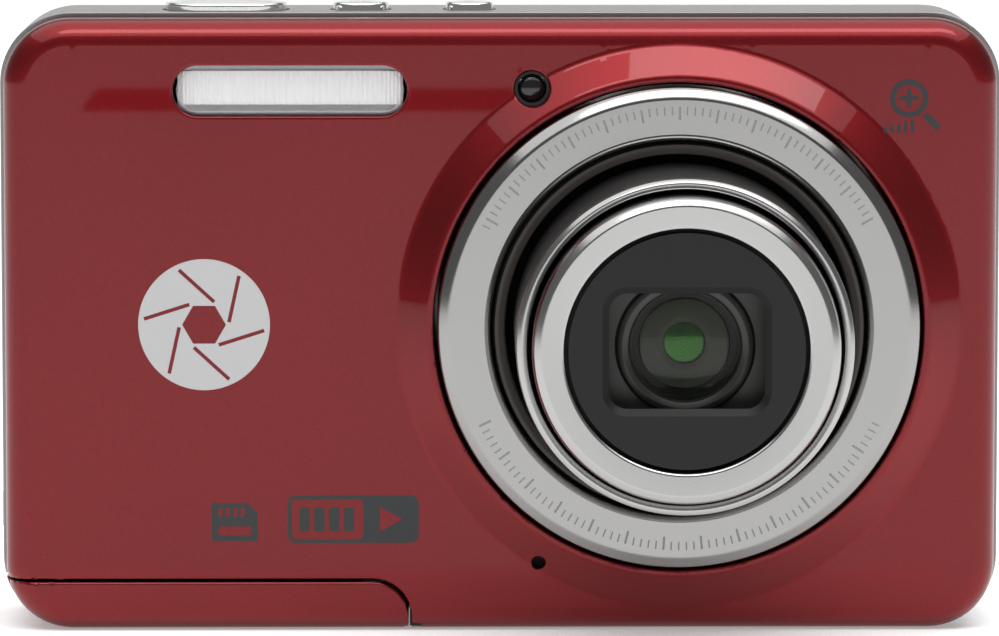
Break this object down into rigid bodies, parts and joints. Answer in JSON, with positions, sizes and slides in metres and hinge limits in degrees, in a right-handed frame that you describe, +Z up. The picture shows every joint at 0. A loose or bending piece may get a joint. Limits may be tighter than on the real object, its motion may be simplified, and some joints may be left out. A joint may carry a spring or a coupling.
{
  "type": "compact digital camera",
  "caption": "Pocket camera: red metal front, grey band and back, zoom lens run out of a silver ring, flash, buttons, rear screen, hinged battery door.",
  "frame": {"origin": "centre of the flat bottom, half way between the front and the rear face of the body", "axes": "+X right as seen from the front, -Y the way the lens looks, +Z up"},
  "size_m": [0.0917, 0.0421, 0.0572],
  "materials": {
    "painted_red": "metallic red lacquer under clear coat",
    "deck_grey": "satin warm grey",
    "satin_silver": "fine brushed silver",
    "bright_chrome": "bright plated",
    "black_plastic": "fine matt black",
    "dark_plastic": "matt dark brown-grey",
    "optical_glass": "coated, polished",
    "clear_window": "clear, ribbed behind",
    "screen_glass": "black, polished",
    "screen_dark": "dark, glossy",
    "plain_steel": "bright",
    "board_green": "solder mask",
    "brass": "turned",
    "cell_wrap": "printed film",
    "card_blue": "fine matt",
    "gear_cream": "moulded",
    "sensor_blue": "coated"
  },
  "bodies": {
    "camera_body": {"front_cover": "painted_red", "body_band": "deck_grey", "rear_cover": "deck_grey", "lens_bezel": "satin_silver", "strap_lug": "satin_silver", "flash_reflector": "bright_chrome", "chassis": "black_plastic", "lens_tube": "black_plastic", "lens_base": "black_plastic", "speaker": "black_plastic", "lens_collar": "dark_plastic", "af_lamp_lens": "optical_glass", "flash_window": "clear_window", "flash_tube": "clear_window", "screen_window": "screen_glass", "screen_panel": "screen_dark", "card_slot": "plain_steel", "drive_gear_shaft": "plain_steel", "zoom_motor": "plain_steel", "focus_rod": "plain_steel", "microphone": "plain_steel", "data_socket": "plain_steel", "screw_bottom_inner": "plain_steel", "screw_bottom_outer": "plain_steel", "screw_right_end": "plain_steel", "main_board": "board_green", "control_board": "board_green", "tripod_nut": "brass", "battery": "cell_wrap", "flash_capacitor": "cell_wrap", "memory_card": "card_blue", "image_sensor": "sensor_blue"},
    "door_slider": {"door_hinge_slider": "plain_steel", "door_hinge_pin": "plain_steel"},
    "door_leaf": {"battery_door": "painted_red"},
    "port_flap": {"port_cover": "deck_grey"},
    "outer_barrel": {"barrel_outer": "satin_silver"},
    "inner_barrel": {"barrel_inner": "satin_silver", "face_plate": "black_plastic", "front_lens_cell": "black_plastic", "front_lens": "optical_glass", "second_lens": "optical_glass"},
    "upper_blade": {"blade_upper": "black_plastic"},
    "lower_blade": {"blade_lower": "black_plastic"},
    "zoom_cam": {"cam_ring": "black_plastic"},
    "zoom_gear": {"drive_gear": "gear_cream"},
    "zoom_pinion": {"motor_pinion": "brass"},
    "focus_group": {"focus_cell": "black_plastic", "focus_lens": "optical_glass"},
    "shutter_key": {"shutter_button": "bright_chrome"},
    "power_key": {"power_button": "bright_chrome"},
    "mode_key": {"mode_button": "bright_chrome"},
    "record_key": {"record_button": "satin_silver"},
    "menu_key": {"menu_button": "satin_silver"},
    "play_key": {"play_button": "satin_silver"},
    "info_key": {"info_button": "satin_silver"},
    "delete_key": {"delete_button": "satin_silver"},
    "set_key": {"set_button": "satin_silver"},
    "nav_pad": {"nav_ring": "satin_silver"},
    "zoom_lever": {"zoom_rocker": "satin_silver"}
  },
  "joints": [
    {"name": "lens_extend", "type": "slide", "parent": "camera_body", "child": "outer_barrel", "axis": [0, 1, 0], "range_m": [0, 0.016]},
    {"name": "inner_barrel_extend", "type": "slide", "parent": "outer_barrel", "child": "inner_barrel", "axis": [0, 1, 0], "range_m": [0, 0.0032]},
    {"name": "upper_blade_close", "type": "slide", "parent": "inner_barrel", "child": "upper_blade", "axis": [0, 0, -1], "range_m": [0, 0.0052]},
    {"name": "lower_blade_close", "type": "slide", "parent": "inner_barrel", "child": "lower_blade", "axis": [0, 0, 1], "range_m": [0, 0.0052]},
    {"name": "cam_ring_turn", "type": "hinge", "parent": "camera_body", "child": "zoom_cam", "pos_m": [0.01615, 0, 0.0282], "axis": [0, -1, 0], "range_deg": [0, 90.01]},
    {"name": "drive_gear_turn", "type": "hinge", "parent": "camera_body", "child": "zoom_gear", "pos_m": [0.03139, 0, 0.0087], "axis": [0, -1, 0], "range_deg": [-360.05, 0]},
    {"name": "pinion_turn", "type": "hinge", "parent": "camera_body", "child": "zoom_pinion", "pos_m": [0.03859, 0, 0.01206], "axis": [0, -1, 0], "range_deg": [0, 630.05]},
    {"name": "focus_move", "type": "slide", "parent": "camera_body", "child": "focus_group", "axis": [0, -1, 0], "range_m": [0, 0.002]},
    {"name": "door_unlatch", "type": "slide", "parent": "camera_body", "child": "door_slider", "axis": [-1, 0, 0], "range_m": [0, 0.0016]},
    {"name": "door_open", "type": "hinge", "parent": "door_slider", "child": "door_leaf", "pos_m": [-0.01175, 0, 0.00125], "axis": [0, -1, 0], "range_deg": [0, 85]},
    {"name": "port_cover_open", "type": "hinge", "parent": "camera_body", "child": "port_flap", "pos_m": [0.0453, 0.00415, 0.035], "axis": [0, 0, 1], "range_deg": [0, 100]},
    {"name": "shutter_press", "type": "slide", "parent": "camera_body", "child": "shutter_key", "axis": [0, 0, -1], "range_m": [0, 0.0004], "stiffness_N_per_m": 600, "springref_m": -0.0005},
    {"name": "power_press", "type": "slide", "parent": "camera_body", "child": "power_key", "axis": [0, 0, -1], "range_m": [0, 0.0004], "stiffness_N_per_m": 600, "springref_m": -0.0005},
    {"name": "mode_press", "type": "slide", "parent": "camera_body", "child": "mode_key", "axis": [0, 0, -1], "range_m": [0, 0.0004], "stiffness_N_per_m": 600, "springref_m": -0.0005},
    {"name": "record_press", "type": "slide", "parent": "camera_body", "child": "record_key", "axis": [0, -1, 0], "range_m": [0, 0.0004], "stiffness_N_per_m": 600, "springref_m": -0.0005},
    {"name": "menu_press", "type": "slide", "parent": "camera_body", "child": "menu_key", "axis": [0, -1, 0], "range_m": [0, 0.0004], "stiffness_N_per_m": 600, "springref_m": -0.0005},
    {"name": "play_press", "type": "slide", "parent": "camera_body", "child": "play_key", "axis": [0, -1, 0], "range_m": [0, 0.0004], "stiffness_N_per_m": 600, "springref_m": -0.0005},
    {"name": "info_press", "type": "slide", "parent": "camera_body", "child": "info_key", "axis": [0, -1, 0], "range_m": [0, 0.0004], "stiffness_N_per_m": 600, "springref_m": -0.0005},
    {"name": "delete_press", "type": "slide", "parent": "camera_body", "child": "delete_key", "axis": [0, -1, 0], "range_m": [0, 0.0004], "stiffness_N_per_m": 600, "springref_m": -0.0005},
    {"name": "set_press", "type": "slide", "parent": "camera_body", "child": "set_key", "axis": [0, -1, 0], "range_m": [0, 0.0004], "stiffness_N_per_m": 600, "springref_m": -0.0005},
    {"name": "nav_ring_tilt", "type": "hinge", "parent": "camera_body", "child": "nav_pad", "pos_m": [-0.03055, 0.00725, 0.025], "axis": [1, 0, 0], "range_deg": [-2, 2], "stiffness_Nm_per_rad": 0.03},
    {"name": "zoom_rocker_tilt", "type": "hinge", "parent": "camera_body", "child": "zoom_lever", "pos_m": [-0.03295, 0.00765, 0.0493], "axis": [0, 0, 1], "range_deg": [-4, 4], "stiffness_Nm_per_rad": 0.01}
  ],
  "couplings": [
    {"joint": "inner_barrel_extend", "follows": "lens_extend", "ratio": 0.2},
    {"joint": "upper_blade_close", "follows": "lens_extend", "ratio": 0.325},
    {"joint": "lower_blade_close", "follows": "lens_extend", "ratio": 0.325},
    {"joint": "cam_ring_turn", "follows": "lens_extend", "rad_per_m": 98.175},
    {"joint": "drive_gear_turn", "follows": "lens_extend", "rad_per_m": -392.7},
    {"joint": "pinion_turn", "follows": "lens_extend", "rad_per_m": 687.22}
  ]
}
